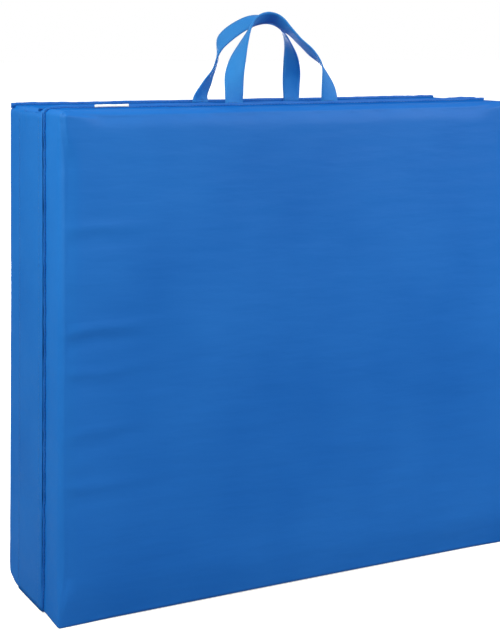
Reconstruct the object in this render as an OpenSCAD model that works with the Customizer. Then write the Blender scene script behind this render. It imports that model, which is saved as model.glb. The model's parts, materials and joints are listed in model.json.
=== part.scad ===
// Tri-fold gym mat, folded into a stack of three padded panels that stands on its long edges.
// Origin: bottom centre of the folded stack. +X runs along the panels, +Y from the front panel
// to the rear panel, +Z up. The stack opens like a letter Z: the front panel turns about a hinge
// strip at the right-hand end, and the rear panel about one at the left-hand end.

/* [Panels] */
// Length of one panel, along the floor
panel_len = 656; // [500:5:900]
// Height of one panel's padded body, without the seam flange
panel_h = 606; // [500:1:900]
// Thickness of one panel with its cover
panel_t = 60; // [35:1:100]
// Air gap between two folded panels
fold_gap = 2; // [1:0.5:6]
// Radius of the panel's corners
corner_r = 8; // [2:1:30]

/* [Cover] */
// Thickness of the coated vinyl sheet
cover_t = 0.8; // [0.4:0.1:2]
// Width of the sewn flange that stands out along a panel's seam
flange_w = 4; // [2:0.5:8]
// Thickness of that flange, two sheets and the thread between them
flange_t = 1.2; // [0.8:0.1:3]
// Distance from a panel's seam-side face to its seam
seam_back = 8; // [2:0.5:12]
// Clearance between pieces that lie against each other
lay = 0.1; // [0.05:0.05:0.3]

/* [Hinges] */
// Distance from a panel's end to the fold line outside it
fold_out = 4.5; // [4:0.5:10]
// How far a hinge strip reaches over the middle panel's end
strip_w = 24; // [10:1:40]
// Radius of the folded bead along the fold line
bead_r = 1.5; // [0.8:0.1:2.5]

/* [Handles] */
// Width of the webbing
web_w = 25; // [15:1:40]
// Thickness of the webbing
web_t = 2; // [1:0.25:3]
// Distance between the two ends of a handle, centre to centre
handle_span = 142; // [100:1:200]
// Height of a handle's crown above its fold line
handle_rise = 109; // [80:1:160]
// How far a crown leans in towards the other handle
handle_lean = 48; // [20:1:48]
// How far the front handle is sewn to the right of the panel's middle
front_handle_x = 0; // [-20:1:20]
// How far the rear handle is sewn to the right of the panel's middle
rear_handle_x = 9; // [-20:1:20]
// Tilt of the webbing at the crown
crown_tilt = 40; // [20:1:55]
// Stations along a handle's length
handle_steps = 36; // [16:2:60]

/* [Tag] */
// Length of the blank tag sewn into the top seam
tag_len = 45; // [20:1:70]
// Height of the tag above the panel
tag_h = 3; // [3:0.5:20]
// Thickness of the tag
tag_t = 0.5; // [0.3:0.1:1]
// Distance from the panel's left end to the tag's middle
tag_at = 87; // [40:1:200]

/* [Hidden] */
$fn = 48;
pitch = panel_t + fold_gap;
stack_t = 3 * panel_t + 2 * fold_gap;
front_y = -stack_t / 2;
middle_y = front_y + pitch;
rear_y = middle_y + pitch;
half_len = panel_len / 2;
top_z = panel_h + flange_w;
skin = cover_t + lay;
front_fold_y = middle_y - fold_gap / 2;
rear_fold_y = rear_y - fold_gap / 2;
front_flange_y = front_y + panel_t - seam_back - flange_t;
middle_flange_y = middle_y + seam_back;
rear_flange_y = rear_y + panel_t - seam_back - flange_t;
front_web_y = front_flange_y + flange_t + lay + web_t / 2;
rear_web_y = rear_flange_y - lay - web_t / 2;
handle_z = top_z + web_t / 2 + 0.5;
flange_foot = 12;
VINYL = [0.15, 0.40, 0.74];
VINYL_DARK = [0.12, 0.34, 0.66];
WEBBING = [0.16, 0.46, 0.80];
FOAM = [0.93, 0.93, 0.90];
WHITE = [0.96, 0.96, 0.96];

// ---- shared shapes ----

// A panel's outline in its own plane, grown or shrunk by a margin, with its foot on y = 0.
module outline(margin = 0) {
    r = corner_r + margin;
    half = half_len + margin;
    translate([-half + r, -margin]) square([2 * (half - r), panel_h + 2 * margin]);
    translate([-half, r - margin]) square([2 * half, panel_h + 2 * (margin - r)]);
    for (x = [-half + r, half - r], z = [r - margin, panel_h + margin - r])
        translate([x, z]) circle(r);
}

// A slab with a panel's outline, from y0 towards +Y.
module slab(y0, thick, margin = 0) {
    translate([0, y0 + thick, 0]) rotate([90, 0, 0]) linear_extrude(thick) outline(margin);
}

// The foam fills the cover.
module foam_core(y0) {
    color(FOAM) slab(y0 + skin, panel_t - 2 * skin, -skin);
}

// One large sheet of the cover.
module sheet(y0) {
    color(VINYL) slab(y0, cover_t);
}

// The band that runs round a panel's four edges, between its two sheets.
module side_band(y0) {
    color(VINYL_DARK) difference() {
        slab(y0 + skin, panel_t - 2 * skin);
        slab(y0, panel_t, -cover_t);
    }
}

// The sewn flange along a panel's seam. It runs over the top and, on the front panel, down the
// free left end, and stops above the floor, where it is folded flat.
module seam_flange(y0, down_left = false) {
    keep_left = down_left ? half_len + 2 * flange_w : half_len - corner_r;
    keep_right = half_len - corner_r;
    color(VINYL_DARK) intersection() {
        difference() {
            slab(y0, flange_t, flange_w);
            slab(y0 - flange_t, 3 * flange_t, lay);
        }
        translate([-keep_left, y0 - flange_t, flange_foot])
            cube([keep_left + keep_right, 3 * flange_t, top_z]);
    }
}

// A hinge strip lies on the middle panel's end and ends in a bead on the fold line.
// end is -1 or 1 for the panel's end, and side the direction from the fold into the middle panel.
module hinge_strip(fold_y, end, side) {
    face = half_len + lay;
    color(VINYL_DARK) translate([0, 0, flange_foot]) linear_extrude(panel_h - 2 * flange_foot)
        mirror([end < 0 ? 1 : 0, 0]) translate([0, fold_y]) mirror([0, side < 0 ? 1 : 0]) {
            translate([half_len + fold_out, 0]) circle(bead_r);
            translate([face, -cover_t / 2]) square([fold_out - lay, cover_t]);
            translate([face, -cover_t / 2]) square([cover_t, strip_w]);
        }
}

// ---- webbing handles ----

// Smooth step from 0 to 1 between a and b.
function ease(a, b, v) = let (t = min(1, max(0, (v - a) / (b - a)))) t * t * (3 - 2 * t);
function unit(v) = v / norm(v);

// Centre line of a handle: an arch whose crown leans towards +Y.
function arch(u) = let (rise = sin(u))
    [-handle_span / 2 * cos(u), handle_lean * pow(rise, 2.2), handle_rise * rise];
function along(u) = unit(arch(min(180, u + 1)) - arch(max(0, u - 1)));

// The webbing's width runs along X at both ends and turns across the arch at the crown.
function twist(u) = 90 * (1 - ease(2, 44, min(u, 180 - u)));
function across(u) =
    let (t = along(u), ref = [0, cos(crown_tilt), -sin(crown_tilt)])
    let (flat = unit(ref - t * (ref * t)))
    flat * cos(twist(u)) + cross(t, flat) * sin(twist(u));

function section(u) =
    let (c = arch(u), w = across(u) * web_w / 2, n = cross(along(u), across(u)) * web_t / 2)
    [c - w - n, c + w - n, c + w + n, c - w + n];

module handle_loop() {
    rings = [for (i = [0:handle_steps]) section(180 * i / handle_steps)];
    points = [for (ring = rings, p = ring) p];
    walls = [for (i = [0:handle_steps - 1], k = [0:3])
        let (a = 4 * i + k, b = 4 * i + (k + 1) % 4)
        [[a, b, b + 4], [a, b + 4, a + 4]]];
    last = 4 * handle_steps;
    faces = concat([for (pair = walls, tri = pair) tri],
        [[0, 2, 1], [0, 3, 2], [last, last + 1, last + 2], [last, last + 2, last + 3]]);
    color(WEBBING) polyhedron(points, [for (f = faces) [f[2], f[1], f[0]]]);
}

// The sewn ends of a handle, held against the seam flange.
module handle_ends(middle_x, web_y) {
    color(WEBBING) for (side = [-1, 1])
        translate([middle_x + side * handle_span / 2 - web_w / 2, web_y - web_t / 2, panel_h + lay])
            cube([web_w, web_t, flange_w + 0.2]);
}

// ---- the pieces ----

module front_foam() { foam_core(front_y); }
module front_outer_sheet() { sheet(front_y); }
module front_inner_sheet() { sheet(front_y + panel_t - cover_t); }
module front_side_band() { side_band(front_y); }
module front_seam_flange() { seam_flange(front_flange_y, down_left = true); }

module middle_foam() { foam_core(middle_y); }
module middle_outer_sheet() { sheet(middle_y + panel_t - cover_t); }
module middle_inner_sheet() { sheet(middle_y); }
module middle_side_band() { side_band(middle_y); }
module middle_seam_flange() { seam_flange(middle_flange_y); }

module rear_foam() { foam_core(rear_y); }
module rear_outer_sheet() { sheet(rear_y); }
module rear_inner_sheet() { sheet(rear_y + panel_t - cover_t); }
module rear_side_band() { side_band(rear_y); }
module rear_seam_flange() { seam_flange(rear_flange_y); }

module front_hinge_strip() { hinge_strip(front_fold_y, 1, 1); }
module rear_hinge_strip() { hinge_strip(rear_fold_y, -1, -1); }

module front_handle() { translate([front_handle_x, front_web_y, handle_z]) handle_loop(); }
module rear_handle() {
    translate([rear_handle_x, rear_web_y, handle_z]) mirror([0, 1, 0]) handle_loop();
}
module front_handle_ends() { handle_ends(front_handle_x, front_web_y); }
module rear_handle_ends() { handle_ends(rear_handle_x, rear_web_y); }

module label_tag() {
    color(WHITE) translate([tag_at - half_len - tag_len / 2, front_flange_y - lay - tag_t, panel_h + lay])
        cube([tag_len, tag_t, tag_h]);
}

front_foam();
front_outer_sheet();
front_inner_sheet();
front_side_band();
front_seam_flange();
middle_foam();
middle_outer_sheet();
middle_inner_sheet();
middle_side_band();
middle_seam_flange();
rear_foam();
rear_outer_sheet();
rear_inner_sheet();
rear_side_band();
rear_seam_flange();
front_hinge_strip();
rear_hinge_strip();
front_handle();
front_handle_ends();
rear_handle();
rear_handle_ends();
label_tag();
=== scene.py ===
"""Looks of the tri-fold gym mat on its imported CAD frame: covers, seams, hinge wraps, handles and tag."""

import json
import math

import bmesh
import bpy
import numpy as np
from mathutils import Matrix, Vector
from mathutils.bvhtree import BVHTree


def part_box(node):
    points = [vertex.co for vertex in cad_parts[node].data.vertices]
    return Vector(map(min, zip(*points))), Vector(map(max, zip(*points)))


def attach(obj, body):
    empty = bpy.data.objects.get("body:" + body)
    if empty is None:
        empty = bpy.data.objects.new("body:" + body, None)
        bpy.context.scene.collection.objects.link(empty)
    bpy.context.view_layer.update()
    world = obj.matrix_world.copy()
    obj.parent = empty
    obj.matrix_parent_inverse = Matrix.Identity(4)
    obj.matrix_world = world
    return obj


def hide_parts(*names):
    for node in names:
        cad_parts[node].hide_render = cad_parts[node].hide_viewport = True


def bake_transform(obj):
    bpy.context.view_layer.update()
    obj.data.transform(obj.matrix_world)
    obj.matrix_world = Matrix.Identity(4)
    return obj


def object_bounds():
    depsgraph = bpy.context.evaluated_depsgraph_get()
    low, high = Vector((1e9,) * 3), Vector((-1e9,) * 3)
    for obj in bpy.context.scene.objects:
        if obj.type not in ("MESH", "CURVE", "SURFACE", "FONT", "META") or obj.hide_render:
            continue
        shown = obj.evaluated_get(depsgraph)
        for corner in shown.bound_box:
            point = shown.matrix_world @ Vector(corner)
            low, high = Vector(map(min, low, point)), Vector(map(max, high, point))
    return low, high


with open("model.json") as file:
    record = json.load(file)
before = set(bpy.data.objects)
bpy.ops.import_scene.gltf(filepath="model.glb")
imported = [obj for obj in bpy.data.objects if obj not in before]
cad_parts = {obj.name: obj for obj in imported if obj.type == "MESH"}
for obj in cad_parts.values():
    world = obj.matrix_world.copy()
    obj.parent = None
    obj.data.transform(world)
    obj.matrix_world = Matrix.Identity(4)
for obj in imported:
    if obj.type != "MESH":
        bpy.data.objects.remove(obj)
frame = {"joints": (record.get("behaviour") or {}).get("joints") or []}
cad_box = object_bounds()

MM = 0.001
PANELS = ("front", "middle", "rear")
HALF_LEN = (cad_box[1].x - cad_box[0].x) / 2

# Which face of each panel carries the seam flange: +1 is its rear face, -1 its front face.
SEAM_SIDE = {"front": 1, "middle": -1, "rear": 1}
# Which face of each panel is an outer face of the folded stack, or 0 for neither
OPEN_SIDE = {"front": -1, "middle": 0, "rear": 1}
HINGE_ENDS = {"front": (1,), "middle": (-1, 1), "rear": (-1,)}  # ends that lie under a hinge wrap

# Form of a cover before it is blown up
GRID = 9 * MM  # spacing of the cover's mesh before its subdivision
SOFT_EDGE = 10 * MM  # rounding of a cover's edges away from the seam
SOFT_REACH = (0.85, 2.0, 0.85)  # how far that rounding reaches along x, y and z, as a share of SOFT_EDGE
SEAM_EDGE = 3.5 * MM  # rounding beside the seam
EAR, EAR_SOFT = 70 * MM, 0.2  # reach of a corner's sharper edges, and the share of rounding left there
FOOT, FOOT_SOFT = 70 * MM, 0.3  # the same for the edges by the floor
DRAW_IN, DRAW_FROM = 0.8 * MM, 0.6  # how far the sides pull in, from this share of the panel's half size
# Corner radii of each panel's outline: at the floor in front and behind, and at the top
CORNERS = {
    "front": (1 * MM, 1.5 * MM, 8 * MM),
    "middle": (1.5 * MM, 1.5 * MM, 8 * MM),
    "rear": (1.5 * MM, 15 * MM, 10 * MM),
}
LIFT = 1.5 * MM  # how far the front panel's free end stands off the floor beside its seam

# Cloth simulation of a cover
BLOW_STEPS = 14
CLOTH = {
    "quality": 5,
    "mass": 0.3,
    "tension_stiffness": 40,
    "compression_stiffness": 40,
    "shear_stiffness": 20,
    "bending_stiffness": 0.3,
    "use_pressure": True,
    "uniform_pressure_force": 4,
    "shrink_min": -0.006,  # the sheet grows by this share
}
SINK, SWELL, SLIDE = 0.8 * MM, 3.0 * MM, 1.0 * MM  # caps on the movement inwards, outwards and sideways

# Creases that cross an outer face from its end: heights in mm with strengths, and their size
RIDGES = ((354, 1.0), (473, 0.6), (304, 0.6), (235, 0.5), (170, 0.5))
RIDGE_H, RIDGE_W = 1.5 * MM, 6 * MM
TROUGH_DROP, TROUGH_W = 15 * MM, 9 * MM  # the hollow below each crease
# Distance from the end where a crease rises and where it dies away, each with the length that it takes
RIDGE_RISE, RIDGE_FALL = (8 * MM, 22 * MM), (55 * MM, 85 * MM)

FOAM_GAP = 7 * MM
FOAM_GRID = 40 * MM
FOAM_CORNERS = (4 * MM, 20 * MM, 10 * MM)

VINYL_T = 0.8 * MM
FLANGE_W, FLANGE_T = 4.2 * MM, 1.2 * MM
FLANGE_WAVE = 0.7 * MM
FLANGE_STEP = 5 * MM
FLANGE_INSET = 14 * MM  # depth inside the cover of the line that the flange's foot is cast from
FLANGE_FOOT = 3 * MM  # height of the lower end of its upright stretch
END_TRIM = 0.33  # share of its width that it loses on that stretch
FOLD_Y = {joint["child"]: joint["pos_m"][1] for joint in frame["joints"]}
WRAP_MIDDLE, WRAP_LEAF = 67.5 * MM, 19 * MM  # reach of a hinge wrap over each panel's end
WRAP_FOOT, WRAP_TOP = 2.5 * MM, 6 * MM  # gaps below and above a wrap
WRAP_BEND = 3.5 * MM  # half width of the stretch over the fold line, which gets closer points
WRAP_ROWS = 100

WEB_W, WEB_T = 25 * MM, 1.8 * MM
WEB_STATIONS = 90
LEAN = 48 * MM  # how far a crown leans in over the stack
# Middle lines of the handles from left to right, as offset and height in mm from the fold line
FRONT_ARCH = ((-71, -9), (-71, 8), (-67, 36), (-49, 70), (-20, 101), (12, 107), (29, 91), (39, 77),
              (52, 62), (65, 44), (69, 22), (71, 0), (71, -9))
REAR_ARCH = ((-71, -9), (-69, 3), (-60, 22), (-52, 44), (-51, 76), (-22, 101), (8, 105), (37, 91),
             (58, 67), (68, 38), (71, 8), (71, -9))
# Share of its length over which the webbing turns, at the left leg and at the right leg
FRONT_TURNS, REAR_TURNS = (0.42, 0.28), (0.35, 0.34)
# Tilt of the webbing's width against the level, in degrees, at shares of its length
FRONT_TILT = ((0.25, 40), (0.5, 38), (0.585, 14), (0.65, -10), (0.76, 2))
REAR_TILT = ((0.25, 50), (0.5, 27), (0.68, 32))
# Points along one face of the webbing's cross-section, as shares of its half width and half thickness
WEB_SECTION = ((-0.98, 1), (-0.6, 1), (-0.2, 1), (0.2, 1), (0.6, 1), (0.98, 1))

STITCH, STITCH_SHARE = 4.7 * MM, 0.74  # spacing of the stitches, and the share of it that shows thread
THREAD_R = 0.36 * MM
# Stations along a stitch: share of its length, then height and thickness in thread radii
STITCH_SHAPE = ((0, -1.6, 0.45), (0.12, -0.3, 0.9), (0.35, 0.35, 1), (0.65, 0.35, 1), (0.88, -0.3, 0.9),
                (1, -1.6, 0.45))
TAG_T = 0.5 * MM

# Colours, darkest and lightest
VINYL = (0.0045, 0.096, 0.455), (0.0085, 0.115, 0.505)
WEBBING = (0.003, 0.136, 0.535), (0.012, 0.196, 0.625)
THREAD = (0.005, 0.080, 0.37), (0.014, 0.140, 0.52)
RIBBON = (0.86, 0.87, 0.88), (0.94, 0.94, 0.94)
FOAM = (0.78, 0.78, 0.74), (0.88, 0.88, 0.85)
BAND_SHADE = 0.97  # the bands and wraps are a little darker than the covers
RIB, WARP = 1.6 * MM, 1.2 * MM  # spacing of the webbing's ribs and of its warp threads

FLOOR_SIZE = 60.0
FLOOR_SEEN = 0.90  # the floor's brightness in the camera's eye
FLOOR_GLOW = 0.6  # extra brightness of the floor in the camera's eye only
FLOOR_BOUNCE = 0.36  # how much light the floor throws back at the object
WORLD_LOW, WORLD_HIGH = 0.60, 0.76  # light from the horizon and from overhead
WARM_LEFT, WARM_RIGHT = (1.0, 0.97, 0.60), (1.0, 0.91, 0.64)  # tints of the two lamps in front
CAMERA_AT, CAMERA_TURN = (-0.906, -1.684, 0.678), (90.65, 0, -27.54)
LENS_MM, LENS_SHIFT, SHIFT_REACH = 80.5, -0.45, 50 * MM


# ---------------------------------------------------------------- small helpers

def smooth(t):
    """Rises from 0 at t = 0 to 1 at t = 1, with level ends."""
    t = np.clip(t, 0.0, 1.0)
    return t * t * (3 - 2 * t)


def fade(low, t):
    """Rises smoothly from low at t = 0 to 1 at t = 1."""
    return low + (1 - low) * smooth(t)


def unit(v):
    return v / np.maximum(np.linalg.norm(v, axis=-1, keepdims=True), 1e-12)


def distances(points):
    """Distance of each point from the first one, along the line through them."""
    return np.concatenate([[0], np.cumsum(np.linalg.norm(np.diff(points, axis=0), axis=1))])


def along(points, at, marks):
    """Points at the given distances along a line whose points lie at the distances in at."""
    return np.stack([np.interp(marks, at, points[:, k]) for k in range(points.shape[1])], axis=-1)


def wander(t, span, seed):
    """A smooth random curve between about -1 and 1 that turns once in a span."""
    rng = np.random.default_rng(seed)
    parts = (1.0, 0.53, 0.29)
    total = 0
    for part in parts:
        wave = span * part * rng.uniform(0.8, 1.25)
        total = total + part * np.sin(2 * math.pi * t / wave + rng.uniform(0, 2 * math.pi))
    return total / sum(parts)


def swell(a, b, span, seed):
    """A smooth random surface between about -1 and 1."""
    rng = np.random.default_rng(seed)
    total = 0
    for turn in np.linspace(0, math.pi, 5, endpoint=False):
        wave = span * rng.uniform(0.7, 1.4)
        way = a * math.cos(turn) + b * math.sin(turn)
        total = total + np.sin(2 * math.pi * way / wave + rng.uniform(0, 2 * math.pi))
    return total / 3.2


def make_object(name, verts, faces, material, uvs=None):
    mesh = bpy.data.meshes.new(name)
    mesh.from_pydata([tuple(v) for v in verts], [], [tuple(f) for f in faces])
    mesh.update()
    if uvs is not None:
        layer = mesh.uv_layers.new(name="weave")
        corner_verts = np.zeros(len(mesh.loops), np.int32)
        mesh.loops.foreach_get("vertex_index", corner_verts)
        layer.data.foreach_set("uv", np.asarray(uvs, np.float32)[corner_verts].ravel())
    mesh.shade_smooth()
    mesh.materials.append(material)
    obj = bpy.data.objects.new(name, mesh)
    bpy.context.scene.collection.objects.link(obj)
    return obj


def outward(obj):
    """Turns every face of a closed piece outwards."""
    bm = bmesh.new()
    bm.from_mesh(obj.data)
    bmesh.ops.recalc_face_normals(bm, faces=bm.faces)
    bm.to_mesh(obj.data)
    bm.free()


def coords(obj):
    co = np.zeros(len(obj.data.vertices) * 3, np.float32)
    obj.data.vertices.foreach_get("co", co)
    return co.reshape(-1, 3).astype(float)


def set_coords(obj, co):
    obj.data.vertices.foreach_set("co", np.asarray(co, np.float32).ravel())
    obj.data.update()


def normals(obj):
    no = np.zeros(len(obj.data.vertices) * 3, np.float32)
    obj.data.vertex_normals.foreach_get("vector", no)
    return no.reshape(-1, 3).astype(float)


# ---------------------------------------------------------------- materials

class Nodes:
    """A short way to write a material's node tree."""

    def __init__(self, name):
        self.material = bpy.data.materials.new(name)
        self.material.use_nodes = True
        self.tree = self.material.node_tree
        self.bsdf = self.tree.nodes["Principled BSDF"]

    def add(self, kind, **settings):
        """A node. Each setting is a property of it or one of its inputs, with spaces as underscores."""
        node = self.tree.nodes.new(kind)
        for key, value in settings.items():
            if hasattr(node, key):
                setattr(node, key, value)
            else:
                node.inputs[key.replace("_", " ")].default_value = value
        return node

    def link(self, output, target):
        self.tree.links.new(output, target)

    def drive(self, name, output):
        """Drives one of the shader's inputs from a node."""
        self.link(output, self.bsdf.inputs[name])

    def fix(self, name, value):
        """Sets one of the shader's inputs to a value."""
        self.bsdf.inputs[name].default_value = value

    def math(self, operation, *values):
        """Maths on node outputs and plain numbers."""
        node = self.add("ShaderNodeMath", operation=operation)
        for socket, value in zip(node.inputs, values):
            if isinstance(value, (int, float)):
                socket.default_value = value
            else:
                self.link(value, socket)
        return node.outputs[0]

    def place(self, scale=(1, 1, 1)):
        """The piece's own coordinates, scaled."""
        coordinate = self.add("ShaderNodeTexCoord")
        mapping = self.add("ShaderNodeMapping", Scale=scale)
        self.link(coordinate.outputs["Object"], mapping.inputs["Vector"])
        return mapping.outputs["Vector"]

    def noise(self, vector, size, detail=3.0, roughness=0.5):
        """Noise whose features are about size across."""
        node = self.add("ShaderNodeTexNoise", Scale=1 / size, Detail=detail, Roughness=roughness)
        self.link(vector, node.inputs["Vector"])
        return node.outputs["Fac"]

    def ramp(self, value, colours, low=0.3, high=0.7):
        """Runs between two colours as a value goes from low to high."""
        node = self.add("ShaderNodeValToRGB")
        for element, at, colour in zip(node.color_ramp.elements, (low, high), colours):
            element.position = at
            element.color = (*colour, 1)
        self.link(value, node.inputs["Fac"])
        return node.outputs["Color"]

    def spread(self, value, low, high):
        """Maps 0 to 1 onto low to high."""
        node = self.add("ShaderNodeMapRange")
        node.inputs["To Min"].default_value = low
        node.inputs["To Max"].default_value = high
        self.link(value, node.inputs["Value"])
        return node.outputs["Result"]

    def bump(self, height, distance, below=None):
        """A normal bumped by a height, on top of another bump if one is given."""
        node = self.add("ShaderNodeBump", Strength=1.0, Distance=distance)
        self.link(height, node.inputs["Height"])
        if below is not None:
            self.link(below, node.inputs["Normal"])
        return node.outputs["Normal"]


def vinyl_material(name, shade=1.0):
    """Smooth PVC-coated polyester: a fine pebble grain, soft ripples, faint colour drift, satin sheen."""
    n = Nodes(name)
    at = n.place()
    drift = n.noise(at, 180 * MM, detail=2.0)
    n.drive("Base Color", n.ramp(drift, [[shade * part for part in colour] for colour in VINYL]))
    handled = n.noise(at, 50 * MM, detail=4.0, roughness=0.6)
    n.drive("Roughness", n.spread(handled, 0.40, 0.56))
    grain = n.noise(at, 1.1 * MM, detail=2.0, roughness=0.55)
    ripple = n.noise(n.place((0.5, 1.0, 2.4)), 35 * MM, roughness=0.45)
    n.drive("Normal", n.bump(grain, 0.04 * MM, below=n.bump(ripple, 0.7 * MM)))
    facing = n.add("ShaderNodeLayerWeight", Blend=0.5).outputs["Facing"]
    n.drive("Specular IOR Level", n.spread(facing, 0.15, -0.015))
    return n.material


def webbing_material():
    """Woven webbing: ribs across its width, fine warp threads along it, and a soft satin sheen."""
    n = Nodes("webbing")
    split = n.add("ShaderNodeSeparateXYZ")
    n.link(n.add("ShaderNodeUVMap", uv_map="weave").outputs["UV"], split.inputs[0])
    length, width = split.outputs["X"], split.outputs["Y"]
    rib = n.math("SINE", n.math("MULTIPLY", length, 2 * math.pi / RIB))
    warp_phase = n.math("MULTIPLY", n.math("FLOOR", n.math("DIVIDE", length, RIB)), math.pi)
    warp = n.math("SINE", n.math("ADD", n.math("MULTIPLY", width, 2 * math.pi / WARP), warp_phase))
    weave = n.math("MULTIPLY_ADD", rib, 0.5, n.math("MULTIPLY", warp, 0.5))
    fuzz = n.noise(n.place(), 1.5 * MM, detail=4.0, roughness=0.7)
    n.drive("Base Color", n.ramp(n.spread(weave, 0.35, 0.65), WEBBING))
    n.drive("Normal", n.bump(n.math("MULTIPLY_ADD", fuzz, 0.5, weave), 0.12 * MM))
    n.drive("Roughness", n.spread(fuzz, 0.5, 0.68))
    n.fix("Sheen Weight", 0.12)
    n.fix("Sheen Tint", (0.3, 0.55, 1.0, 1))
    n.fix("Specular IOR Level", 0.3)
    return n.material


def thread_material():
    """Twisted polyester sewing thread."""
    n = Nodes("thread")
    twist = n.add("ShaderNodeTexWave", Scale=900.0, Distortion=1.0)
    n.link(n.place(), twist.inputs["Vector"])
    n.drive("Base Color", n.ramp(twist.outputs["Fac"], THREAD, low=0.2, high=0.8))
    n.drive("Normal", n.bump(twist.outputs["Fac"], 0.1 * MM))
    n.fix("Roughness", 0.5)
    return n.material


def tag_material():
    """White satin ribbon with a fine cross weave."""
    n = Nodes("tag_ribbon")
    weave = n.noise(n.place((1, 1, 8)), 1.2 * MM, detail=2.0)
    n.drive("Base Color", n.ramp(n.noise(n.place(), 20 * MM), RIBBON))
    n.drive("Normal", n.bump(weave, 0.08 * MM))
    n.fix("Roughness", 0.45)
    n.fix("Sheen Weight", 0.2)
    return n.material


def foam_material():
    """Closed-cell foam with cut cells."""
    n = Nodes("foam")
    at = n.place()
    cells = n.add("ShaderNodeTexVoronoi", Scale=600.0)
    n.link(at, cells.inputs["Vector"])
    n.drive("Base Color", n.ramp(n.noise(at, 30 * MM), FOAM))
    n.drive("Normal", n.bump(cells.outputs["Distance"], 0.5 * MM))
    n.fix("Roughness", 0.9)
    return n.material


MATERIALS = {
    "vinyl": vinyl_material("vinyl"),
    "band": vinyl_material("vinyl_band", BAND_SHADE),
    "webbing": webbing_material(),
    "thread": thread_material(),
    "tag": tag_material(),
    "foam": foam_material(),
}


# ---------------------------------------------------------------- panels

def panel_box(panel):
    """The corners of a panel's padded body, from its sheets and band."""
    boxes = [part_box(f"{panel}_{part}") for part in ("outer_sheet", "inner_sheet", "side_band")]
    lo = np.min([np.array(b[0]) for b in boxes], axis=0)
    hi = np.max([np.array(b[1]) for b in boxes], axis=0)
    return lo, hi


def seam_middle(panel):
    """Where a panel's seam lies, front to back."""
    lo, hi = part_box(f"{panel}_seam_flange")
    return (lo.y + hi.y) / 2


def ticks(half, edge, step, turns=4):
    """Grid lines over one side of a rounded box: even in the middle, closer round the edges."""
    flat = half - edge
    count = max(2, int(round(2 * flat / step)))
    middle = np.linspace(-flat, flat, count + 1)
    bends = flat + edge * np.tan(np.radians(45) * np.arange(1, turns + 1) / turns)
    return np.concatenate([-bends[::-1], middle, bends])


def box_surface(xs, ys, zs):
    """Lattice points on the surface of a box, and the quads between them."""
    index, verts, quads = {}, [], []

    def point(i, j, k):
        key = (i, j, k)
        if key not in index:
            index[key] = len(verts)
            verts.append((xs[i], ys[j], zs[k]))
        return index[key]

    last = (len(xs) - 1, len(ys) - 1, len(zs) - 1)
    for axis in range(3):
        a, b = (axis + 1) % 3, (axis + 2) % 3
        for end in (0, last[axis]):
            for i in range(last[a]):
                for j in range(last[b]):
                    corners = [(i, j), (i + 1, j), (i + 1, j + 1), (i, j + 1)]
                    if end == 0:
                        corners.reverse()
                    ring = []
                    for p, q in corners:
                        key = [0, 0, 0]
                        key[axis], key[a], key[b] = end, p, q
                        ring.append(point(*key))
                    quads.append(ring)
    return np.array(verts), quads


def rounded(local, half, seam):
    """Moves points of a box onto its rounded form, sharper beside the seam, by the floor and at corners."""
    towards_seam = smooth(0.5 + 0.5 * seam * local[:, 1] / half[1])
    corner_gap = np.hypot(half[0] - abs(local[:, 0]), half[2] - abs(local[:, 2]))
    soft = SOFT_EDGE * fade(EAR_SOFT, corner_gap / EAR) * fade(FOOT_SOFT, (local[:, 2] + half[2]) / FOOT)
    reach = 1 + (np.array(SOFT_REACH) - 1) * (1 - towards_seam)[:, None]
    radius = (soft * (1 - towards_seam) + SEAM_EDGE * towards_seam)[:, None] * reach
    core = np.clip(local, -(half - radius), half - radius)
    return core + unit((local - core) / radius) * radius


def turn_corners(local, half, front_low, back_low, high):
    """Rounds the outline's corners. At the floor the radius changes over the rear half of the panel."""
    x, y, z = local.T
    low = front_low + (back_low - front_low) * smooth(y / half[1])
    radius = np.where(z < 0, low, high)
    a = abs(x) - (half[0] - radius)
    b = abs(z) - (half[2] - radius)
    shrink = np.where((a > 0) & (b > 0), np.maximum(a, b) / np.maximum(np.hypot(a, b), 1e-9), 1.0)
    turned_x = np.where(shrink < 1, np.sign(x) * (half[0] - radius + a * shrink), x)
    turned_z = np.where(shrink < 1, np.sign(z) * (half[2] - radius + b * shrink), z)
    return np.stack([turned_x, y, turned_z], axis=1)


def drawn_in(height):
    """How far a panel's end draws in at a height between -1 and 1 of its half."""
    return DRAW_IN * (1 - height ** 2)


def fold_in(local, half):
    """The cover's sides draw in between the corners."""
    x, y, z = (local / half).T
    out = local.copy()
    out[:, 0] -= np.sign(x) * drawn_in(z) * smooth((abs(x) - DRAW_FROM) / (1 - DRAW_FROM))
    out[:, 2] -= np.sign(z) * drawn_in(x) * smooth((abs(z) - DRAW_FROM) / (1 - DRAW_FROM))
    return out


def lift_free_end(local, half):
    """Lifts the foot of the front panel's free end off the floor towards its seam."""
    from_front = smooth((local[:, 1] + half[1] - 8 * MM) / (36 * MM))
    by_floor = smooth((20 * MM - local[:, 2] - half[2]) / (20 * MM))
    by_end = 1 - smooth((local[:, 0] + half[0] - 25 * MM) / (45 * MM))
    local[:, 2] += LIFT * from_front * by_floor * by_end


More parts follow.
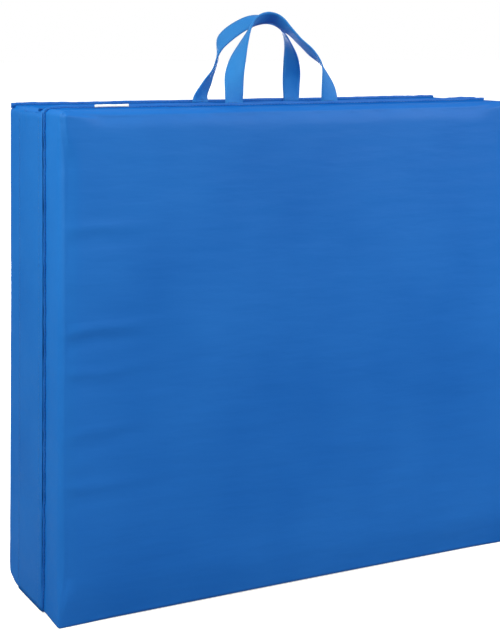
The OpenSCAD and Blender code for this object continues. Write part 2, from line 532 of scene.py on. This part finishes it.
def inflate(obj, hold):
    """Blows the cover up as cloth, with the held points pinned, and returns how far each point moved."""
    start = coords(obj)
    group = obj.vertex_groups.new(name="pin")
    group.add([int(i) for i in np.nonzero(hold)[0]], 1.0, "REPLACE")
    cloth = obj.modifiers.new("cloth", "CLOTH")
    for setting, value in CLOTH.items():
        setattr(cloth.settings, setting, value)
    cloth.settings.vertex_group_mass = group.name
    cloth.settings.effector_weights.gravity = 0
    cloth.collision_settings.use_collision = False
    cloth.collision_settings.use_self_collision = False
    cloth.point_cache.frame_start = 1
    cloth.point_cache.frame_end = BLOW_STEPS
    scene = bpy.context.scene
    for step in range(1, BLOW_STEPS + 1):
        scene.frame_set(step)
    blown = obj.evaluated_get(bpy.context.evaluated_depsgraph_get())
    mesh = blown.to_mesh()
    end = np.zeros(len(mesh.vertices) * 3, np.float32)
    mesh.vertices.foreach_get("co", end)
    blown.to_mesh_clear()
    obj.modifiers.remove(cloth)
    obj.vertex_groups.remove(group)
    scene.frame_set(1)
    return end.reshape(-1, 3).astype(float) - start


def settle(move, normal):
    """Caps the simulated movement: a little inwards or along the surface, more outwards."""
    rise = (move * normal).sum(axis=1, keepdims=True)
    slide = move - rise * normal
    reach = np.linalg.norm(slide, axis=1, keepdims=True)
    slide *= np.minimum(1.0, SLIDE / np.maximum(reach, 1e-9))
    return slide + np.clip(rise, -SINK, SWELL) * normal


def seam_rim(local, half, seam):
    """The points beside the seam, which the sewing holds still."""
    near_seam = seam * local[:, 1] > half[1] - 2 * MM
    at_side = (abs(local[:, 0]) > half[0] - 6 * MM) | (abs(local[:, 2]) > half[2] - 6 * MM)
    return near_seam & at_side


def freedom(panel, local, half):
    """How freely each point may swell, 0 to 1: not against the next panel, a hinge wrap or the floor."""
    x, y, z = local.T
    free = smooth((z + half[2] - 1 * MM) / (45 * MM))
    for side in (-1, 1):
        if side != OPEN_SIDE[panel]:
            free *= 1 - smooth((side * y - half[1] + 6 * MM) / (5 * MM))
    for end in HINGE_ENDS[panel]:
        free *= 1 - smooth((end * x - half[0] + 7 * MM) / (5 * MM))
    return free


def refine(obj):
    """Applies one subdivision."""
    mod = obj.modifiers.new("subdivision", "SUBSURF")
    mod.levels = 1
    bpy.context.view_layer.update()
    fine = bpy.data.meshes.new_from_object(obj.evaluated_get(bpy.context.evaluated_depsgraph_get()))
    obj.modifiers.remove(mod)
    coarse = obj.data
    obj.data = fine
    bpy.data.meshes.remove(coarse)
    fine.shade_smooth()


def face_ridges(x, z, seed):
    """Soft creases that run in from a panel's end across its face, each with a hollow below it."""
    total = np.zeros_like(x)
    from_end = x + HALF_LEN
    rise, fall = [smooth((from_end - at) / length) for at, length in (RIDGE_RISE, RIDGE_FALL)]
    for i, (height, strength) in enumerate(RIDGES):
        centre = height * MM + 2.5 * MM * wander(x, 110 * MM, seed + i) + 0.03 * x
        total += strength * np.exp(-((z - centre) / RIDGE_W) ** 2)
        total -= 0.8 * strength * np.exp(-((z - centre + TROUGH_DROP) / TROUGH_W) ** 2)
    return total * rise * (1 - fall)


def seam_relief(panel, place, normal, seed):
    """Puckers and a groove along a panel's seam, and tucks beside it low on the front panel's end."""
    x, y, z = place.T
    lo, hi = panel_box(panel)
    off_seam = y - seam_middle(panel)
    on_top = smooth((normal[:, 2] - 0.2) / 0.4)
    on_end = smooth((-normal[:, 0] - 0.2) / 0.4) * (panel == "front")
    run = np.where(on_top > on_end, x, z)
    pucker = wander(run, 21 * MM, seed + 9) * np.exp(-abs(off_seam) / (9 * MM))
    groove = np.exp(-(off_seam / (2 * MM)) ** 2)
    low = smooth(((lo[2] + hi[2]) / 2 + 50 * MM - z) / (120 * MM))
    tuck = wander(z + 1.1 * off_seam, 24 * MM, seed + 12) * low
    tuck *= np.exp(-abs(off_seam) / (26 * MM)) * (abs(off_seam) > 3 * MM)
    return (0.45 * MM * pucker - 0.8 * MM * groove) * np.maximum(on_top, on_end) + 0.55 * MM * tuck * on_end


def relief(panel, place, normal):
    """How far each point of a cover stands out: swells, creases on an outer face, the seam's relief."""
    x, y, z = place.T
    seed = 40 * PANELS.index(panel)
    on_face = smooth((abs(normal[:, 1]) - 0.6) / 0.35)
    exposed = normal[:, 1] * OPEN_SIDE[panel] > 0
    out = 0.35 * MM * swell(x, z, 190 * MM, seed + 1) * on_face
    out += 0.12 * MM * swell(x, z + y, 50 * MM, seed + 2)
    out += RIDGE_H * face_ridges(x, z, seed + 3) * on_face * exposed
    return out + seam_relief(panel, place, normal, seed)


def build_cover(panel):
    """A panel's cover: a rounded box, blown up as cloth, subdivided and creased."""
    lo, hi = panel_box(panel)
    centre, half = (lo + hi) / 2, (hi - lo) / 2
    seam = SEAM_SIDE[panel]
    verts, quads = box_surface(*[ticks(h, SOFT_EDGE, GRID) for h in half])
    local = fold_in(turn_corners(rounded(verts, half, seam), half, *CORNERS[panel]), half)
    if panel == "front":
        lift_free_end(local, half)
    cover = make_object(f"{panel}_cover", local + centre, quads, MATERIALS["vinyl"])
    outward(cover)
    move = settle(inflate(cover, seam_rim(local, half, seam)), normals(cover))
    set_coords(cover, local + centre + move * freedom(panel, local, half)[:, None])
    refine(cover)
    place, normal = coords(cover), normals(cover)
    step = relief(panel, place, normal) * smooth((place[:, 2] - 2 * MM) / (30 * MM))
    set_coords(cover, place + normal * step[:, None])
    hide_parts(f"{panel}_outer_sheet", f"{panel}_inner_sheet", f"{panel}_side_band")
    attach(cover, f"{panel}_panel")
    return cover


def build_foam(panel):
    """The foam block inside the cover, with eased edges."""
    lo, hi = panel_box(panel)
    centre, half = (lo + hi) / 2, (hi - lo) / 2 - FOAM_GAP
    verts, quads = box_surface(*[ticks(h, SOFT_EDGE, FOAM_GRID, turns=3) for h in half])
    form = turn_corners(rounded(verts, half, SEAM_SIDE[panel]), half, *FOAM_CORNERS)
    foam = make_object(f"{panel}_foam_core", form + centre, quads, MATERIALS["foam"])
    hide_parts(f"{panel}_foam")
    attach(foam, f"{panel}_panel")


# ---------------------------------------------------------------- swept strips and stitches

def sweep(rings):
    """Vertices and faces of a closed tube through rings that all have the same number of points."""
    rings = np.asarray(rings)
    count, size = rings.shape[:2]
    faces = []
    for i in range(count - 1):
        for k in range(size):
            a, b = i * size + k, i * size + (k + 1) % size
            faces.append((a, b, b + size, a + size))
    faces.append(tuple(range(size))[::-1])
    faces.append(tuple((count - 1) * size + k for k in range(size)))
    return rings.reshape(-1, 3), faces


def stitch(line, up):
    """The rings of one stitch along a short line of points, on a surface that faces up."""
    rise, thick = THREAD_R * np.array(STITCH_SHAPE).T[1:]
    side = np.cross(up, unit(line[-1] - line[0]))
    turns = np.linspace(0, 2 * math.pi, 6, endpoint=False)
    circle = np.outer(np.cos(turns), side) + np.outer(np.sin(turns), up)
    return [centre + lift * up + radius * circle for centre, lift, radius in zip(line, rise, thick)]


def stitches(name, rows, body):
    """Rows of stitches. Each row is a line of points with the surface's outward direction at each."""
    verts, faces = [], []
    shares = np.array(STITCH_SHAPE)[:, 0]
    for points, out in rows:
        points, out = np.asarray(points), np.asarray(out)
        at = distances(points)
        for start in np.arange(0.3 * STITCH, at[-1] - STITCH, STITCH):
            marks = start + STITCH * STITCH_SHARE * shares
            ring_verts, ring_faces = sweep(stitch(along(points, at, marks), unit(along(out, at, marks[2]))))
            shift = len(verts)
            verts.extend(ring_verts)
            faces.extend(tuple(i + shift for i in face) for face in ring_faces)
    obj = make_object(name, verts, faces, MATERIALS["thread"])
    outward(obj)
    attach(obj, body)


def surface_finder(cover):
    """A function that finds where a line from outside meets the cover."""
    tree = BVHTree.FromPolygons(
        [v.co.copy() for v in cover.data.vertices], [tuple(p.vertices) for p in cover.data.polygons])

    def find(inside, direction):
        origin = Vector(inside) + Vector(direction) * 0.2
        hit = tree.ray_cast(origin, -Vector(direction))[0]
        return np.array(hit if hit is not None else inside)

    return find


# ---------------------------------------------------------------- seam flanges

def flange_path(panel):
    """Stations along a panel's seam: points inside the panel and the direction the flange stands in."""
    lo, hi = panel_box(panel)
    y = seam_middle(panel)
    top, left, right = hi[2] - FLANGE_INSET, lo[0] + FLANGE_INSET, hi[0] - 5 * MM
    stations = [((x, y, top), (0, 0, 1)) for x in np.arange(right, left, -FLANGE_STEP)]
    if panel == "front":
        for turn in np.radians(np.arange(5, 90, 5)):
            stations.append(((left, y, top), (-math.sin(turn), 0, math.cos(turn))))
        foot = lo[2] + FLANGE_FOOT
        for z in np.linspace(top, foot, round((top - foot) / FLANGE_STEP)):
            stations.append(((left, y, z), (-1, 0, 0)))
    else:
        for x in np.arange(left, lo[0] - 1.5 * MM, -FLANGE_STEP / 2):
            stations.append(((x, y, top), (0, 0, 1)))
    return stations


def flange_section(base, out, width, lean):
    """The flange's cross-section, from below the surface up to an eased tip that leans to one side."""
    across = np.array([0, FLANGE_T / 2, 0])
    foot = base - 2.2 * MM * out
    middle = base + 0.45 * width * out + 0.35 * lean
    tip = base + width * out + lean
    shoulder = tip - 0.3 * MM * out
    return [
        foot - across, middle - across, shoulder - across, tip - across / 2,
        tip + across / 2, shoulder + across, middle + across, foot + across,
    ]


def build_flange(panel, cover):
    """The sewn flange: two sheet edges standing out of the seam, a little wavy, with rows of stitches."""
    find = surface_finder(cover)
    seed = 300 + PANELS.index(panel)
    rings, rows = [], ([], [])
    top = panel_box(panel)[1][2]
    run, previous = 0.0, None
    for inside, direction in flange_path(panel):
        out = np.array(direction, float)
        base = find(inside, direction)
        if panel != "front":
            base[2] = max(base[2], top - 2 * MM)
        run += 0 if previous is None else np.linalg.norm(base - previous)
        previous = base
        width = FLANGE_W * (1 + 0.10 * wander(run, 160 * MM, seed)) * (1 - END_TRIM * abs(out[0]))
        if panel == "middle":
            width *= fade(0.25, (base[0] + HALF_LEN) / (60 * MM))
        lean = np.array([0, FLANGE_WAVE * wander(run, 75 * MM, seed + 5), 0])
        rings.append(flange_section(base, out, width, lean))
        for row, side in zip(rows, np.array([[0, -1, 0], [0, 1, 0]])):
            row.append((base + 0.38 * width * out + 0.3 * lean + side * (FLANGE_T / 2 + 0.1 * MM), side))
    flange = make_object(f"{panel}_flange", *sweep(rings), MATERIALS["band"])
    outward(flange)
    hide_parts(f"{panel}_seam_flange")
    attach(flange, f"{panel}_panel")
    stitches(f"{panel}_flange_stitches", [list(zip(*row)) for row in rows], f"{panel}_panel")


# ---------------------------------------------------------------- hinge wraps

def sheet_faces(rows, cols):
    """Faces of a thin sheet whose vertices are its outer grid and then its inner one, with the rim."""
    faces = []
    lower = rows * cols
    for i in range(rows - 1):
        for k in range(cols - 1):
            a = i * cols + k
            faces.append((a, a + 1, a + cols + 1, a + cols))
            faces.append((lower + a, lower + a + cols, lower + a + cols + 1, lower + a + 1))
    rim = list(range(cols))
    rim += [i * cols + cols - 1 for i in range(1, rows)]
    rim += [(rows - 1) * cols + k for k in range(cols - 2, -1, -1)]
    rim += [i * cols for i in range(rows - 2, 0, -1)]
    for a, b in zip(rim, rim[1:] + rim[:1]):
        faces.append((a, lower + a, lower + b, b))
    return faces


def wrap_grid(end):
    """A wrap's points: distances from its fold line, heights, and how far out of the end they lie."""
    lo, hi = panel_box("middle")
    across = np.concatenate([
        np.linspace(-WRAP_MIDDLE, -WRAP_BEND, 12, endpoint=False),
        np.linspace(-WRAP_BEND, WRAP_BEND, 15),
        np.linspace(WRAP_BEND, WRAP_LEAF, 8)[1:],
    ])
    rows = np.linspace(lo[2] + WRAP_FOOT, hi[2] - WRAP_TOP, WRAP_ROWS)
    across, z = np.meshgrid(across, rows)
    seed = 500 + (end > 0) * 20
    near_top = np.exp(-(rows[-1] - z) / (14 * MM))
    ripple = 0.35 * MM * swell(across, z, 70 * MM, seed)
    ripple += 0.8 * MM * near_top * wander(across, 28 * MM, seed + 3)
    edge = np.minimum(across + WRAP_MIDDLE, WRAP_LEAF - across)
    press = 0.5 * MM * (1 - smooth(edge / (5 * MM)))
    level = (z - (lo[2] + hi[2]) / 2) / ((hi[2] - lo[2]) / 2)
    out = 0.4 * MM + abs(ripple) - press - drawn_in(level)
    return across, z + 0.9 * MM * near_top * wander(across, 33 * MM, seed + 8), out


def build_wrap(name, strip, end, leaf):
    """The vinyl strip that lies flat over two panels' ends, across the fold line between them.

    end is -1 or 1 for the end, and leaf is the panel that swings away from the middle one.
    """
    fold_y = FOLD_Y[f"{leaf}_panel"]
    side = 1 if leaf == "rear" else -1
    face_x = end * (panel_box("middle")[1][0] + 0.9 * MM)
    across, z, out = wrap_grid(end)
    outer, inner = [
        np.stack([face_x + end * (out + skin), fold_y + side * across, z], axis=-1)
        for skin in (VINYL_T / 2, -VINYL_T / 2)
    ]
    verts = np.concatenate([outer, inner]).reshape(-1, 3)
    wrap = make_object(name, verts, sheet_faces(*across.shape), MATERIALS["band"])
    outward(wrap)
    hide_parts(strip)
    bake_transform(wrap)
    facing = np.tile([end, 0, 0], (WRAP_ROWS, 1))
    for column, body in ((2, "middle_panel"), (-2, f"{leaf}_panel")):
        stitches(f"{name}_stitches_{body}", [(outer[:, column], facing)], body)


# ---------------------------------------------------------------- webbing handles

def spline(points, count):
    """Points evenly spaced along a smooth curve through the given ones."""
    points = np.asarray(points, float)
    padded = np.vstack([2 * points[0] - points[1], points, 2 * points[-1] - points[-2]])
    dense = []
    for i in range(1, len(padded) - 2):
        a, b, c, d = padded[i - 1:i + 3]
        for t in np.linspace(0, 1, 24, endpoint=False):
            dense.append(0.5 * (2 * b + (c - a) * t + (2 * a - 5 * b + 4 * c - d) * t ** 2
                                + (3 * b - a - 3 * c + d) * t ** 3))
    dense = np.array(dense + [points[-1]])
    at = distances(dense)
    return along(dense, at, np.linspace(0, at[-1], count))


def handle_directions(path, turns, tilts, side):
    """Directions of the webbing's width and of its face along its path.

    At the feet the width lies in the arch's plane, and in between it turns across that plane, tilted.
    """
    share = np.linspace(0, 1, len(path))
    turned = 1 - smooth(share / turns[0]) * smooth((1 - share) / turns[1])
    ahead = unit(np.gradient(path, axis=0))
    tilt = np.radians(np.interp(share, *zip(*tilts)))
    flat = np.stack([0 * tilt, side * np.cos(tilt), -np.sin(tilt)], axis=1)
    level = unit(flat - ahead * (ahead * flat).sum(axis=1, keepdims=True))
    twist = (math.pi / 2 * turned)[:, None]
    width = level * np.cos(twist) + side * np.cross(ahead, level) * np.sin(twist)
    return width, np.cross(ahead, width)


def foot_rows(base_y, seam_z, feet):
    """Two rows of stitches on both faces of each foot of a handle."""
    rows = []
    for foot in feet:
        line_x = np.linspace(foot[0] - 0.4 * WEB_W, foot[0] + 0.4 * WEB_W, 12)
        for z in (seam_z - 6 * MM, seam_z - 3 * MM):
            for towards in (-1, 1):
                y = base_y + towards * (WEB_T / 2 + 0.05 * MM)
                rows.append(([(x, y, z) for x in line_x], [(0, towards, 0)] * 12))
    return rows


def build_handle(name, panel, arch, turns, tilts, side):
    """A webbing handle. side is +1 for the front handle, whose crown leans back, and -1 for the rear one.

    arch holds points of its middle line as (offset, height). turns says over which share of its length
    the webbing turns at the left and at the right leg. tilts gives the tilt of its width along its length.
    """
    lo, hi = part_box(f"{panel}_handle_ends")
    base_x, base_y = (lo.x + hi.x) / 2, (lo.y + hi.y) / 2
    fold_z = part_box(f"{panel}_handle")[0].z
    offset, height = spline(np.array(arch) * MM, WEB_STATIONS).T
    lean = LEAN * np.clip(height / height.max(), 0, 1) ** 1.9
    path = np.stack([base_x + offset, base_y + side * lean, fold_z + height], axis=1)
    width, face = handle_directions(path, turns, tilts, side)
    shape = [(-1, 0), *WEB_SECTION, (1, 0), *[(-a, -b) for a, b in WEB_SECTION]]
    rings, uvs = [], []
    for p, w, f, s in zip(path, width, face, distances(path)):
        bow = 0.5 * MM * wander(s, 90 * MM, 700 + side)
        rings.append([p + w * a * WEB_W / 2 + f * (b * WEB_T / 2 + bow * (1 - a * a)) for a, b in shape])
        uvs.extend((s, a * WEB_W / 2) for a, b in shape)
    handle = make_object(name, *sweep(rings), MATERIALS["webbing"], uvs)
    outward(handle)
    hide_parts(f"{panel}_handle", f"{panel}_handle_ends")
    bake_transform(handle)
    stitches(f"{name}_stitches", foot_rows(base_y, fold_z, (path[0], path[-1])), f"{panel}_panel")


# ---------------------------------------------------------------- tag

def build_tag():
    """A blank white ribbon folded double, with its ends in the seam."""
    lo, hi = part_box("label_tag")
    middle_y = (lo.y + hi.y) / 2
    rings = []
    for x in np.linspace(lo.x, hi.x, 25):
        sway = 0.5 * MM * wander(x, 50 * MM, 91)
        top = hi.z + 0.2 * MM * wander(x, 30 * MM, 92)
        belly, shoulder = (lo.z + top) / 2, top - 0.5 * MM
        # The right half of the folded ribbon's outline, as offsets in ribbon thicknesses with heights
        half_ring = ((0.5, lo.z), (0.62, belly), (0.5, shoulder), (0.2, top))
        outline = [(-offset, z) for offset, z in half_ring] + list(half_ring[::-1])
        rings.append([
            (x, middle_y + offset * TAG_T + sway * (z - lo.z) / (top - lo.z), z) for offset, z in outline
        ])
    tag = make_object("blank_tag", *sweep(rings), MATERIALS["tag"])
    outward(tag)
    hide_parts("label_tag")
    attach(tag, "front_panel")


for panel in PANELS:
    cover = build_cover(panel)
    build_foam(panel)
    build_flange(panel, cover)
build_wrap("rear_hinge_wrap", "rear_hinge_strip", -1, "rear")
build_wrap("front_hinge_wrap", "front_hinge_strip", 1, "front")
build_handle("front_handle_webbing", "front", FRONT_ARCH, FRONT_TURNS, FRONT_TILT, 1)
build_handle("rear_handle_webbing", "rear", REAR_ARCH, REAR_TURNS, REAR_TILT, -1)
build_tag()


# ---------------------------------------------------------------- stage, light, camera

def build_stage():
    """A pale floor that looks white and throws back less light than it shows."""
    z = cad_box[0].z
    corners = ((-1, -1), (1, -1), (1, 1), (-1, 1))
    verts = [(FLOOR_SIZE * x, FLOOR_SIZE * y, z) for x, y in corners]
    n = Nodes("pale_floor")
    seen = n.add("ShaderNodeLightPath").outputs["Is Camera Ray"]
    n.drive("Base Color", n.spread(seen, FLOOR_BOUNCE, FLOOR_SEEN))
    n.drive("Emission Color", seen)
    n.fix("Emission Strength", FLOOR_GLOW)
    n.fix("Roughness", 0.8)
    n.fix("Specular IOR Level", 0.1)
    make_object("floor", verts, [(0, 1, 2, 3)], n.material)


def area_light(name, place, aim, size, power, colour=(1, 1, 1)):
    data = bpy.data.lights.new(name, "AREA")
    data.shape = "RECTANGLE"
    data.size, data.size_y = size
    data.energy = power
    data.color = colour
    lamp = bpy.data.objects.new(name, data)
    lamp.location = place
    lamp.rotation_euler = (Vector(aim) - Vector(place)).to_track_quat("-Z", "Y").to_euler()
    lamp.visible_camera = False
    bpy.context.scene.collection.objects.link(lamp)


def build_world():
    """Even light all round, a little stronger from overhead. The camera itself sees plain white."""
    world = bpy.data.worlds.new("studio")
    bpy.context.scene.world = world
    world.use_nodes = True
    nodes, links = world.node_tree.nodes, world.node_tree.links
    height = nodes.new("ShaderNodeSeparateXYZ")
    links.new(nodes.new("ShaderNodeTexCoord").outputs["Generated"], height.inputs[0])
    overhead = nodes.new("ShaderNodeMapRange")
    overhead.inputs["To Min"].default_value = WORLD_LOW
    overhead.inputs["To Max"].default_value = WORLD_HIGH
    links.new(height.outputs["Z"], overhead.inputs["Value"])
    strength = nodes.new("ShaderNodeMapRange")
    strength.inputs["To Max"].default_value = 1.0
    links.new(overhead.outputs["Result"], strength.inputs["To Min"])
    links.new(nodes.new("ShaderNodeLightPath").outputs["Is Camera Ray"], strength.inputs["Value"])
    background = nodes["Background"]
    background.inputs["Color"].default_value = (1, 1, 1, 1)
    links.new(strength.outputs["Result"], background.inputs["Strength"])


def build_light():
    build_world()
    area_light("soft_left", (-1.05, -0.25, 0.98), (-0.3, 0, 0.35), (1.2, 1.0), 17.5, WARM_LEFT)
    area_light("soft_right", (0.95, -0.95, 1.08), (0.25, 0, 0.5), (1.4, 1.0), 21.5, WARM_RIGHT)
    area_light("soft_back", (0.9, 2.6, 0.33), (0, 0, 0.3), (2.2, 0.55), 45)
    bpy.context.scene.view_settings.view_transform = "Standard"


def build_camera():
    data = bpy.data.cameras.new("camera")
    camera = bpy.data.objects.new("camera", data)
    bpy.context.scene.collection.objects.link(camera)
    camera.location = CAMERA_AT
    camera.rotation_euler = [math.radians(turn) for turn in CAMERA_TURN]
    data.sensor_width = 36
    data.lens = LENS_MM
    bpy.context.scene.camera = camera
    shift_lens(camera)


def shift_lens(camera):
    """Shifts the lens so that uprights stay upright, and drops the shift when the camera moves away."""
    standpoint = bpy.data.objects.new("standpoint", None)
    standpoint.location = camera.location
    bpy.context.scene.collection.objects.link(standpoint)
    fcurve = camera.data.driver_add("shift_y")
    fcurve.driver.type = "SUM"
    gap = fcurve.driver.variables.new()
    gap.type = "LOC_DIFF"
    gap.targets[0].id = camera
    gap.targets[1].id = standpoint
    for modifier in list(fcurve.modifiers):
        fcurve.modifiers.remove(modifier)
    for distance, shift in ((0.0, LENS_SHIFT), (SHIFT_REACH, 0.0)):
        point = fcurve.keyframe_points.insert(distance, shift)
        point.interpolation = "LINEAR"
    fcurve.extrapolation = "CONSTANT"


build_stage()
build_light()
build_camera()
